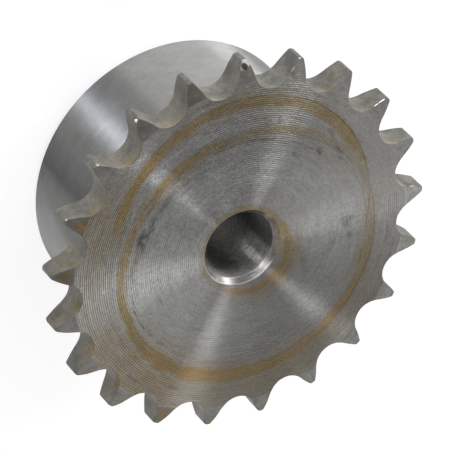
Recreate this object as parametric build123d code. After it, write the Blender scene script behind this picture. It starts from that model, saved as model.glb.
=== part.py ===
"""Roller chain sprocket: one toothed plate and a hub on one side, turned and cut from one piece of steel.

Units are millimetres and +Z is up. The sprocket stands on the end of its hub with the toothed plate
on top. The origin is the centre of the bore at the hub's end face, and Z runs along the bore.
"""
from build123d import *
from math import acos, atan2, cos, hypot, pi, radians, sin, tan
import os

# The chain that runs on it: 3/8 inch pitch, one row of rollers
chain_pitch = 9.525
roller_diameter = 6.35

# Teeth
tooth_count = 21
seat_clearance = 0.155  # how much wider the seat's radius is than the roller's
seat_angle = 130.0  # the arc that the roller sits in
flank_radius = 20.0  # the convex side of a tooth, from the seat to the tip
tip_height = 1.85  # from the pitch circle to the tip circle
tip_corner_radius = 0.4
tooth_width = 5.0  # the plate's thickness
bevel_height = 3.7  # how far the side bevels reach inwards from the tip circle
bevel_depth = 0.68  # what each side bevel takes off the width at the tip

# Hub
overall_length = 28.0
hub_diameter = 48.5
hub_edge_chamfer = 1.0
hub_root_radius = 0.5  # the turned corner between the hub and the plate

# Bore
bore_diameter = 12.0
bore_chamfer = 0.95

# How far the outline of a tooth gap runs past the tip circle, where it cuts only air
gap_overrun = 1.0

# Worked out from the sizes above
half_pitch_angle = pi / tooth_count
pitch_radius = chain_pitch / (2 * sin(half_pitch_angle))
root_radius = pitch_radius - roller_diameter / 2
tip_radius = pitch_radius + tip_height
seat_radius = roller_diameter / 2 + seat_clearance
bevel_radius = tip_radius - bevel_height
hub_radius = hub_diameter / 2
bore_radius = bore_diameter / 2
plate_top = overall_length
plate_back = overall_length - tooth_width

# The circles that shape one tooth gap, for a gap whose centre line is +X
half_seat = radians(seat_angle) / 2
seat_center = (root_radius + seat_radius, 0.0)
flank_center = (
    seat_center[0] - (seat_radius + flank_radius) * cos(half_seat),
    (seat_radius + flank_radius) * sin(half_seat),
)


def on_circle(center, radius, angle):
    """The point of a circle at an angle from +X, in radians."""
    return (center[0] + radius * cos(angle), center[1] + radius * sin(angle))


def flank_angle(radius):
    """The angle from the gap's centre line at which the flank crosses a circle round the bore."""
    reach = hypot(*flank_center)
    toward_center = atan2(flank_center[1], flank_center[0])
    cosine = (radius**2 + reach**2 - flank_radius**2) / (2 * radius * reach)
    return toward_center - acos(cosine)


def mirrored(point):
    """The same point on the other side of the gap's centre line."""
    return (point[0], -point[1])


def tooth_gap():
    """The space between two teeth: a roller seat, two flanks, and open past the tip circle."""
    open_radius = tip_radius + gap_overrun
    seat_bottom = (root_radius, 0.0)
    seat_end = on_circle(seat_center, seat_radius, pi - half_seat)
    flank_end = on_circle((0.0, 0.0), open_radius, flank_angle(open_radius))
    first = atan2(seat_end[1] - flank_center[1], seat_end[0] - flank_center[0])
    last = atan2(flank_end[1] - flank_center[1], flank_end[0] - flank_center[0])
    flank_middle = on_circle(flank_center, flank_radius, (first + last) / 2)
    outline = [
        ThreePointArc(mirrored(seat_end), seat_bottom, seat_end),
        ThreePointArc(seat_end, flank_middle, flank_end),
        ThreePointArc(flank_end, (open_radius, 0.0), mirrored(flank_end)),
        ThreePointArc(mirrored(flank_end), mirrored(flank_middle), mirrored(seat_end)),
    ]
    return make_face(outline)


def tip_fillet_radius():
    """The tip's corner radius, or less where the land between a tooth's two flanks is narrow."""
    half_land_angle = half_pitch_angle - flank_angle(tip_radius)
    if half_land_angle <= 0:
        return tip_corner_radius
    corner = on_circle((0.0, 0.0), tip_radius, flank_angle(tip_radius))
    flank_normal = atan2(corner[1] - flank_center[1], corner[0] - flank_center[0])
    turn = flank_angle(tip_radius) - flank_normal
    widest = 0.9 * tip_radius * half_land_angle / tan(turn / 2)
    return min(tip_corner_radius, widest)


def tooth_form():
    """The toothed disc's outline, with every tip's corners rounded."""
    gap = tooth_gap()
    disc = Circle(tip_radius)
    disc -= [Rot(Z=360 * k / tooth_count) * gap for k in range(tooth_count)]
    corners = [v for v in disc.vertices() if hypot(v.X, v.Y) > pitch_radius]
    return fillet(corners, tip_fillet_radius())


def turned_section():
    """Half of the blank's section in the XZ plane: the bevelled plate, the hub and the bore."""
    bevel_back = plate_back + bevel_depth
    bevel_top = plate_top - bevel_depth
    plate = make_face(
        Polyline(
            (0, plate_back),
            (bevel_radius, plate_back),
            (tip_radius, bevel_back),
            (tip_radius, bevel_top),
            (bevel_radius, plate_top),
            (0, plate_top),
            close=True,
        )
    )
    hub = make_face(
        Polyline(
            (0, 0),
            (hub_radius - hub_edge_chamfer, 0),
            (hub_radius, hub_edge_chamfer),
            (hub_radius, plate_back + tooth_width / 2),
            (0, plate_back + tooth_width / 2),
            close=True,
        )
    )
    section = plate + hub
    corner = section.vertices().sort_by_distance((hub_radius, plate_back, 0))[0]
    section = fillet(corner, min(hub_root_radius, 0.4 * abs(bevel_radius - hub_radius)))
    chamfer_radius = bore_radius + bore_chamfer
    bore = make_face(
        Polyline(
            (0, 0),
            (chamfer_radius, 0),
            (bore_radius, bore_chamfer),
            (bore_radius, overall_length - bore_chamfer),
            (chamfer_radius, overall_length),
            (0, overall_length),
            close=True,
        )
    )
    return Plane.XZ * (section - bore)


def sprocket():
    """The turned blank, cut to the tooth form over the plate's thickness."""
    blank = revolve(turned_section(), Axis.Z)
    teeth = Pos(Z=plate_back) * extrude(tooth_form(), tooth_width)
    below_teeth = Pos(Z=plate_back / 2) * Cylinder(tip_radius, plate_back)
    return blank & (teeth + below_teeth)


part = sprocket()
part.label = "sprocket"
os.makedirs("parts", exist_ok=True)
export_step(part, "parts/sprocket.step")
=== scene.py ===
"""Looks of a roller chain sprocket: turned and cut steel, dull from storage, with rust rings."""
from math import acos, atan2, cos, hypot, pi, radians, sin

import bpy
import numpy as np
from mathutils import Matrix, Vector


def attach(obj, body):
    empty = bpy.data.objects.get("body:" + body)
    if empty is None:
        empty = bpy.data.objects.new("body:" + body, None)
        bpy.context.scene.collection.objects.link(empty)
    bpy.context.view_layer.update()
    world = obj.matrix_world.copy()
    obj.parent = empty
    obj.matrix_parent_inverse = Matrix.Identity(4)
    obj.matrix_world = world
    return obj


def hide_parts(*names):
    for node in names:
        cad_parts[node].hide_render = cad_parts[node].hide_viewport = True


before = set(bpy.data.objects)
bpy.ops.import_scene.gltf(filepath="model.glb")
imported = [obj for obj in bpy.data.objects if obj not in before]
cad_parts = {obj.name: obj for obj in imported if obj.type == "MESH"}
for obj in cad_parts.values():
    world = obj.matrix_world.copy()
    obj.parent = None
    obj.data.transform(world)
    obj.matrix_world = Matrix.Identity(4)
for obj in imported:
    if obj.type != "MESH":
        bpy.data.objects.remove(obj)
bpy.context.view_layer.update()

MM = 0.001  # the frame is in metres; the sizes below are in millimetres

# ---------------------------------------------------------------- sizes, as in the part's source
CHAIN_PITCH = 9.525
ROLLER_DIAMETER = 6.35
TOOTH_COUNT = 21
SEAT_CLEARANCE = 0.155
SEAT_RADIUS = ROLLER_DIAMETER / 2 + SEAT_CLEARANCE
HALF_SEAT = radians(65.0)
FLANK_RADIUS = 20.0
TIP_CORNER = 0.4
HALF_PITCH = pi / TOOTH_COUNT
PITCH_RADIUS = CHAIN_PITCH / (2 * sin(HALF_PITCH))
ROOT_RADIUS = PITCH_RADIUS - ROLLER_DIAMETER / 2
TIP_HEIGHT = 1.85
TIP_RADIUS = PITCH_RADIUS + TIP_HEIGHT
BEVEL_HEIGHT = 3.7
BEVEL_DEPTH = 0.68
BEVEL_RADIUS = TIP_RADIUS - BEVEL_HEIGHT
PLATE_TOP = 28.0
PLATE_BACK = 23.0
HUB_RADIUS = 24.25
HUB_CHAMFER = 1.0
HUB_ROOT_FILLET = 0.5
BORE_RADIUS = 6.0
BORE_CHAMFER = 0.95

# Rounding that the real edges have and the solid leaves out
TOOTH_EDGE = 0.09
TOOTH_EDGE_SPREAD = 0.04  # how much a tooth's edge varies along its length
TIP_EDGE = 0.25  # what the tips of the teeth are rounded more
TIP_EDGE_START = 32.2
WORN_TIPS = (205, 100)  # the worn front tips: middle of their range round the axis, and half of it
LEAST_WEAR = 0.2  # the share of TIP_EDGE on the other front tips
BACK_WEAR = 0.1  # the share of TIP_EDGE at the back
WEAR_RISE = 3  # how quickly the wear sets in, round the axis
EDGE_TALLNESS = 1.4  # the rounding reaches further down the wall than it does inwards
TIP_EDGE_TALLNESS = 2.5
TURNED_EDGE = 0.06
WITHIN = 0.99999  # draws every point in by a hair, so that none passes the solid's own box

# The grid's rings, in millimetres
CREASE = 0.05  # how far the two rings lie from the circle where the bevel starts
CREASE_GAP = 0.03  # the outer one keeps at least this from the rounded edge, the inner one twice it
FACE_RINGS = (9, 13, 17, 21, 25, 27.6)  # radii of the plain rings
BACK_RINGS = (27.6, 26.2)
END_RINGS = (18, 12)
HUB_RINGS = (18, 12, 6)  # heights of the plain rings
BORE_RINGS = (7, 14, 21)
SHORTEST_STEP = 0.05  # the least length that the texture reckons between two rings
DENT_POINTS = 12  # how many points near a dent say which way the surface faces there

# Small dents in the front edges of teeth: angle round the axis, reach, size and depth
DENTS = (
    (94.9, 33.3, 0.7, 0.3), (93.8, 33.7, 1.2, 0.5), (45.6, 31.6, 0.5, 0.16), (79.4, 31, 0.6, 0.14),
    (130.2, 33, 0.5, 0.2), (11, 32.4, 0.5, 0.15), (201.5, 31.2, 0.6, 0.15), (300.4, 32.6, 0.5, 0.18),
)

# Where the front edges of teeth are rubbed bright and carry a painted glint: angle, reach, size and
# strength
RUBBED_AND_GLINTING = (
    (129.2, 33.75, 0.45, 1), (144.9, 33.5, 0.38, 0.6), (145.8, 33.8, 0.3, 0.4), (162.2, 33.8, 0.35, 0.9),
    (147, 31.7, 0.9, 0.35), (148, 30.6, 0.8, 0.3), (178.4, 33.3, 0.4, 0.25), (166.1, 30.9, 0.7, 0.25),
    (77.9, 33.9, 0.4, 0.5), (79.2, 31.8, 0.9, 0.4), (60.1, 32.9, 0.4, 0.6), (43.6, 32.5, 0.9, 1),
    (45.2, 31.6, 0.5, 0.9), (26.5, 31.8, 0.6, 0.4), (10.6, 31.6, 0.7, 0.6), (7, 33.4, 0.4, 0.5),
    (182, 32.2, 0.5, 0.4), (196, 33.4, 0.4, 0.3), (250, 32, 0.5, 0.3),
)


# ---------------------------------------------------------------- the tooth outline
def arc_points(center, radius, start, end, count):
    """Points of an arc with the direction from its centre at each."""
    angles = np.linspace(start, end, count + 1)
    ways = np.column_stack([np.cos(angles), np.sin(angles)])
    return np.asarray(center) + radius * ways, ways


def half_pitch_outline():
    """From a gap's centre line to the next tooth's: the points and the outward normals."""
    seat_center = np.array([ROOT_RADIUS + SEAT_RADIUS, 0.0])
    flank_center = seat_center + (SEAT_RADIUS + FLANK_RADIUS) * np.array(
        [-cos(HALF_SEAT), sin(HALF_SEAT)]
    )
    reach = hypot(*flank_center)
    fillet_reach = TIP_RADIUS - TIP_CORNER
    from_flank = FLANK_RADIUS - TIP_CORNER
    along = (fillet_reach**2 + reach**2 - from_flank**2) / (2 * fillet_reach * reach)
    fillet_angle = atan2(flank_center[1], flank_center[0]) - acos(along)
    fillet_center = fillet_reach * np.array([cos(fillet_angle), sin(fillet_angle)])

    seat_reach = seat_center[0]
    crossing = acos(
        (seat_reach**2 + SEAT_RADIUS**2 - BEVEL_RADIUS**2) / (2 * seat_reach * SEAT_RADIUS)
    )
    pieces = []
    for start, end, count in ((0.0, crossing, 9), (crossing, HALF_SEAT, 3)):
        points, ways = arc_points(seat_center, SEAT_RADIUS, pi - start, pi - end, count)
        pieces.append((points, -ways))
    seat_end = pieces[-1][0][-1]
    to_seat = seat_end - flank_center
    to_fillet = fillet_center - flank_center
    first = atan2(to_seat[1], to_seat[0])
    last = atan2(to_fillet[1], to_fillet[0])
    pieces.append(arc_points(flank_center, FLANK_RADIUS, first, last, 12))
    pieces.append(arc_points(fillet_center, TIP_CORNER, last, fillet_angle, 4))
    pieces.append(arc_points((0, 0), TIP_RADIUS, fillet_angle, HALF_PITCH, 2))
    points = np.vstack([p[0][:-1] for p in pieces] + [pieces[-1][0][-1:]])
    normals = np.vstack([p[1][:-1] for p in pieces] + [pieces[-1][1][-1:]])
    return points, normals


def full_outline():
    """The whole toothed outline: points and outward normals, once round, from the first gap."""
    points, normals = half_pitch_outline()
    mirror = np.array([1.0, -1.0])
    one = np.vstack([(points * mirror)[:0:-1], points[:-1]])
    one_normals = np.vstack([(normals * mirror)[:0:-1], normals[:-1]])
    all_points, all_normals = [], []
    for k in range(TOOTH_COUNT):
        turn = 2 * pi * k / TOOTH_COUNT
        matrix = np.array([[cos(turn), sin(turn)], [-sin(turn), cos(turn)]])
        all_points.append(one @ matrix)
        all_normals.append(one_normals @ matrix)
    return np.vstack(all_points) * WITHIN, np.vstack(all_normals)


def smooth_random(random, count, span):
    """A closed row of values from about -1 to 1 that changes over this many neighbours."""
    values = random.normal(size=count)
    window = np.hanning(2 * span + 3)[1:-1]
    spread = np.fft.irfft(np.fft.rfft(values) * np.fft.rfft(window, count), count)
    return np.clip(spread / (2 * spread.std()), -1, 1)


OUTLINE, OUTLINE_NORMALS = full_outline()
STATIONS = len(OUTLINE)
OUTLINE_REACH = np.hypot(OUTLINE[:, 0], OUTLINE[:, 1])
BEVEL_SLOPE = BEVEL_DEPTH / BEVEL_HEIGHT
WALL_NORMALS = np.column_stack([OUTLINE_NORMALS, np.zeros(STATIONS)])


# ---------------------------------------------------------------- the grid of rings
class Grid:
    """Rings with one point at each station, from the top of the bore out, down, and back up it."""

    def __init__(self):
        self.points, self.normals, self.surfaces, self.edges = [], [], [], []
        self.ways = OUTLINE / OUTLINE_REACH[:, None]

    def add(self, points, height, normals, surface, edge=0.0):
        self.points.append(np.column_stack([points, np.broadcast_to(height, (STATIONS,))]))
        self.normals.append(normals / np.linalg.norm(normals, axis=1)[:, None])
        self.surfaces.append(surface)
        self.edges.append(np.full(STATIONS, edge))

    def tilted(self, outward, upward):
        """Normals that lean from each radial direction."""
        return np.column_stack([self.ways * outward, np.full(STATIONS, float(upward))])

    def turned(self, radius, height, outward, upward, surface, edge=0.0):
        """A ring on a turned surface, round the bore's axis."""
        self.add(self.ways * radius, height, self.tilted(outward, upward), surface, edge)

    def corner(self, radius, height, before, after, surface, next_surface):
        """A small rounded corner, where two turned faces with these normals meet."""
        before = np.array(before) / hypot(*before)
        after = np.array(after) / hypot(*after)
        middle = (before + after) / hypot(*(before + after))
        back = np.array([before[1], -before[0]]) * -TURNED_EDGE
        ahead = np.array([after[1], -after[0]]) * TURNED_EDGE
        inwards = -0.3 * TURNED_EDGE * middle
        for step, normal, edge in ((back, before, 0.0), (inwards, middle, 1.0), (ahead, after, 0.0)):
            kind = next_surface if step is ahead else surface
            self.turned(radius + step[0], height + step[1], normal[0], normal[1], kind, edge)


def bevel_drop(radius):
    return np.maximum(0.0, radius - BEVEL_RADIUS) * BEVEL_SLOPE


def tooth_side(grid, top, random):
    """Rings from the flat face over the side bevel and the rounded edge to the tooth's wall.

    Returns the heights at which the wall starts.
    """
    sign = 1.0 if top else -1.0
    level = PLATE_TOP if top else PLATE_BACK
    near_tip = np.clip((OUTLINE_REACH - TIP_EDGE_START) / (TIP_RADIUS - TIP_EDGE_START), 0, 1)
    middle, half = np.radians(WORN_TIPS)
    toward_middle = np.cos(np.arctan2(OUTLINE[:, 1], OUTLINE[:, 0]) - middle)
    wear = np.clip(LEAST_WEAR + WEAR_RISE * (toward_middle - cos(half)), LEAST_WEAR, 1.0)
    near_tip *= wear if top else BACK_WEAR
    size = TOOTH_EDGE + TOOTH_EDGE_SPREAD * smooth_random(random, STATIONS, 5) + TIP_EDGE * near_tip
    inner = OUTLINE - size[:, None] * OUTLINE_NORMALS
    inner_reach = np.hypot(inner[:, 0], inner[:, 1])
    ways = inner / inner_reach[:, None]
    flat = np.column_stack([ways * 0.0, np.full(STATIONS, sign)])
    cone = np.column_stack([ways * BEVEL_SLOPE, np.full(STATIONS, sign)])
    on_bevel = (inner_reach > BEVEL_RADIUS + 0.02)[:, None]
    side_normals = np.where(on_bevel, cone, flat)
    side_normals /= np.linalg.norm(side_normals, axis=1)[:, None]
    surface = "bevel" if top else "teeth"

    rings = []
    crease = np.minimum(BEVEL_RADIUS - CREASE, inner_reach - 2 * CREASE_GAP)
    rings.append((ways * crease[:, None], level, flat, surface, 0.0))
    crease = np.minimum(BEVEL_RADIUS + CREASE, inner_reach - CREASE_GAP)
    for share in (0.0, 0.35, 0.65, 0.84, 0.93):
        radius = crease + (inner_reach - crease) * share
        heights = level - sign * bevel_drop(radius)
        rings.append((ways * radius[:, None], heights, side_normals, surface, 0.0))
    start = level - sign * bevel_drop(inner_reach)
    tallness = EDGE_TALLNESS + (TIP_EDGE_TALLNESS - EDGE_TALLNESS) * near_tip
    end = level - sign * (bevel_drop(OUTLINE_REACH) + size * tallness)
    for share, edge in ((0, 0), (0.2, 1), (0.4, 1), (0.6, 1), (0.8, 1), (1, 0)):
        turn = share * pi / 2
        points = inner + (size * sin(turn))[:, None] * OUTLINE_NORMALS
        heights = start + (end - start) * (1 - cos(turn))
        normals = cos(turn) * side_normals + sin(turn) * WALL_NORMALS
        rings.append((points, heights, normals, "teeth", edge))
    if not top:
        rings = rings[::-1]
    for points, heights, normals, kind, edge in rings:
        grid.add(points, heights, normals, kind, edge)
    return end


def build_grid():
    grid = Grid()
    random = np.random.default_rng(21)
    lip = BORE_RADIUS + BORE_CHAMFER
    grid.corner(lip, PLATE_TOP, (-1, 1), (0, 1), "chamfer", "face")
    for radius in FACE_RINGS:
        grid.turned(radius, PLATE_TOP, 0, 1, "face")
    high = tooth_side(grid, True, random)
    # the wall's last ring stays clear of the bevel and the rounded edge at the back
    low = PLATE_BACK + 2 * EDGE_TALLNESS * TOOTH_EDGE + bevel_drop(OUTLINE_REACH) * 2.5
    for share in (0.01, 0.08, 0.18, 0.4, 0.7, 1.0):
        grid.add(OUTLINE, high + (low - high) * share, WALL_NORMALS, "teeth")
    tooth_side(grid, False, random)
    for radius in BACK_RINGS:
        grid.turned(radius, PLATE_BACK, 0, -1, "back")
    fillet_reach = HUB_RADIUS + HUB_ROOT_FILLET
    for share in np.linspace(0, 1, 5):
        turn = share * pi / 2
        radius = fillet_reach - HUB_ROOT_FILLET * sin(turn)
        height = PLATE_BACK - HUB_ROOT_FILLET * (1 - cos(turn))
        grid.turned(radius, height, sin(turn), -cos(turn), "hub")
    for height in HUB_RINGS:
        grid.turned(HUB_RADIUS, height, 1, 0, "hub")
    grid.corner(HUB_RADIUS, HUB_CHAMFER, (1, 0), (1, -1), "hub", "hub")
    grid.corner(HUB_RADIUS - HUB_CHAMFER, 0.0, (1, -1), (0, -1), "hub", "end")
    for radius in END_RINGS:
        grid.turned(radius, 0.0, 0, -1, "end")
    grid.corner(lip, 0.0, (0, -1), (-1, -1), "end", "chamfer")
    grid.corner(BORE_RADIUS, BORE_CHAMFER, (-1, -1), (-1, 0), "chamfer", "bore")
    for height in BORE_RINGS:
        grid.turned(BORE_RADIUS, height, -1, 0, "bore")
    grid.corner(BORE_RADIUS, PLATE_TOP - BORE_CHAMFER, (-1, 0), (-1, 1), "bore", "chamfer")
    return grid


def on_front(angle, reach):
    """The point of the plate's front at this angle round the axis and this reach."""
    a = radians(angle)
    return np.array([reach * cos(a), reach * sin(a), PLATE_TOP - float(bevel_drop(reach))])


def dent(points, normals):
    """Scoops the small dents out of the front edges of the teeth. Returns which points moved.

    Each scoop is a bowl that is cut straight in, so that the surface never folds over itself.
    """
    moved = np.zeros(len(points), dtype=bool)
    for angle, reach, size, depth in DENTS:
        off = points - on_front(angle, reach)
        nearest = np.argsort(np.linalg.norm(off, axis=1))[:DENT_POINTS]
        out = normals[nearest].sum(axis=0)
        out /= np.linalg.norm(out)
        height = off @ out
        beside = (off**2).sum(axis=1) - height**2
        bowl = depth * (1 - beside / size**2)
        push = np.where((bowl > 0) & (height > -size), np.maximum(height + bowl, 0), 0)
        points -= push[:, None] * out
        moved |= push > 0
    return moved


def rub_and_glint(points, edges):
    """Keeps the edges bright only where they are rubbed: worn, with a painted glint."""
    bright = np.zeros(len(points))
    for angle, reach, size, strength in RUBBED_AND_GLINTING:
        distance = np.linalg.norm(points - on_front(angle, reach), axis=1)
        near = np.clip(1 - (distance / size) ** 2, 0, 1)
        bright = np.maximum(bright, np.minimum(2 * near, 1.0) * strength)
    return edges * bright


# How much of the texture's height each surface gets for its length
SHARE_OF_TEXTURE = {
    "face": 2.0, "bevel": 2.2, "teeth": 2.2, "back": 1.0,
    "hub": 1.0, "end": 0.8, "chamfer": 2.0, "bore": 0.8,
}


def texture_heights(grid):
    """How far up the texture each ring lies, measured along the rings' middle line."""
    middle = []
    for p in grid.points:
        middle.append(np.median(np.column_stack([np.hypot(p[:, 0], p[:, 1]), p[:, 2]]), axis=0))
    steps = []
    for i, surface in enumerate(grid.surfaces):
        step = middle[(i + 1) % len(middle)] - middle[i]
        steps.append(max(hypot(*step), SHORTEST_STEP) * SHARE_OF_TEXTURE[surface])
    total = np.concatenate([[0.0], np.cumsum(steps)])
    return total / total[-1]


def make_sprocket():
    grid = build_grid()
    count = len(grid.points)
    points = np.vstack(grid.points)
    normals = np.vstack(grid.normals)
    edges = rub_and_glint(points, np.concatenate(grid.edges))
    moved = dent(points, normals)
    points *= MM
    station = np.arange(STATIONS)
    after = (station + 1) % STATIONS
    heights = texture_heights(grid)
    faces, unwrapped = [], []
    for i in range(count):
        a, b = i * STATIONS, ((i + 1) % count) * STATIONS
        faces.append(np.column_stack([a + station, b + station, b + after, a + after]))
        left, right = station / STATIONS, (station + 1) / STATIONS
        low, high = np.full(STATIONS, heights[i]), np.full(STATIONS, heights[i + 1])
        corners = [left, low, left, high, right, high, right, low]
        unwrapped.append(np.column_stack(corners).ravel())
    mesh = bpy.data.meshes.new("sprocket_turned")
    mesh.from_pydata(points.tolist(), [], np.vstack(faces).tolist())
    mesh.update()
    mesh.polygons.foreach_set("use_smooth", [True] * len(mesh.polygons))
    smooth = np.empty(len(points) * 3, dtype=np.float32)
    mesh.vertex_normals.foreach_get("vector", smooth)
    normals[moved] = smooth.reshape(-1, 3)[moved]
    mesh.normals_split_custom_set_from_vertices(normals.tolist())
    layer = mesh.uv_layers.new(name="OFBake")
    layer.data.foreach_set("uv", np.concatenate(unwrapped))
    # the share of each rounded edge that is worn bright and carries a painted glint
    edge = mesh.attributes.new("edge", "FLOAT", "POINT")
    edge.data.foreach_set("value", edges)
    piece = bpy.data.objects.new("sprocket_turned", mesh)
    bpy.context.scene.collection.objects.link(piece)
    return piece, grid.surfaces


# ---------------------------------------------------------------- materials: the tools
class Graph:
    """Adds nodes to one new material. A value may be a number, a tuple or another node's output."""

    def __init__(self, name):
        self.material = bpy.data.materials.new(name)
        self.material.use_nodes = True
        self.tree = self.material.node_tree
        self.shader = self.tree.nodes["Principled BSDF"]

    def set(self, socket, value):
        if isinstance(value, bpy.types.NodeSocket):
            self.tree.links.new(value, socket)
        else:
            socket.default_value = value

    def node(self, kind, inputs, output=0, **settings):
        node = self.tree.nodes.new("ShaderNode" + kind)
        for key, value in settings.items():
            setattr(node, key, value)
        for key, value in inputs.items():
            self.set(node.inputs[key], value)
        return node.outputs[output]

    def math(self, operation, a, b=0.0, clamp=False):
        return self.node("Math", {0: a, 1: b}, operation=operation, use_clamp=clamp)

    def add(self, *values):
        total = values[0]
        for value in values[1:]:
            total = self.math("ADD", total, value)
        return total

    def times(self, *values):
        product = values[0]
        for value in values[1:]:
            product = self.math("MULTIPLY", product, value)
        return product

    def rest(self, share):
        """What a share leaves of 1."""
        return self.math("SUBTRACT", 1.0, share)

    def strongest(self, *values):
        best = values[0]
        for value in values[1:]:
            best = self.math("MAXIMUM", best, value)
        return best

    def vector(self, operation, a, b=(0, 0, 0), output=0):
        return self.node("VectorMath", {0: a, 1: b}, output=output, operation=operation)

    def scaled(self, vector, factor):
        return self.node("VectorMath", {0: vector, "Scale": factor}, operation="SCALE")

    def fade(self, value, zero_at, one_at):
        """Goes smoothly from 0 to 1 as the value goes from zero_at to one_at."""
        inputs = {"Value": value, "From Min": zero_at, "From Max": one_at}
        return self.node("MapRange", inputs, interpolation_type="SMOOTHSTEP")

    def spread(self, value, low, high):
        """Maps 0..1 to low..high."""
        return self.node("MapRange", {"Value": value, "To Min": low, "To Max": high})

    def vary(self, noise, low, high):
        """Maps a noise, which seldom leaves 0.3..0.7, to low..high."""
        return self.spread(self.fade(noise, 0.3, 0.7), low, high)

    def noise(self, vector, scale, detail=2.0, roughness=0.5):
        inputs = {"Vector": vector, "Scale": scale, "Detail": detail, "Roughness": roughness}
        return self.node("TexNoise", inputs)

    def blend(self, factor, a, b, kind="MIX"):
        node = self.tree.nodes.new("ShaderNodeMix")
        node.data_type = "RGBA"
        node.blend_type = kind
        self.set(node.inputs[0], factor)
        self.set(node.inputs[6], a)
        self.set(node.inputs[7], b)
        return node.outputs[2]

    def blend_value(self, factor, a, b):
        return self.add(self.times(self.rest(factor), a), self.times(factor, b))

    def shaded(self, color, tone):
        """The colour, made lighter or darker by a tone near 1."""
        grey = self.node("CombineColor", {0: tone, 1: tone, 2: tone})
        return self.blend(1.0, color, grey, "MULTIPLY")

    def rusted(self, color, rust, tint):
        """The colour, seen through this much thin rust."""
        return self.blend(1.0, color, self.blend(rust, WHITE, tint), "MULTIPLY")


def round_at(angle):
    a = radians(angle)
    return (cos(a), sin(a), 0.0)


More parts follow.
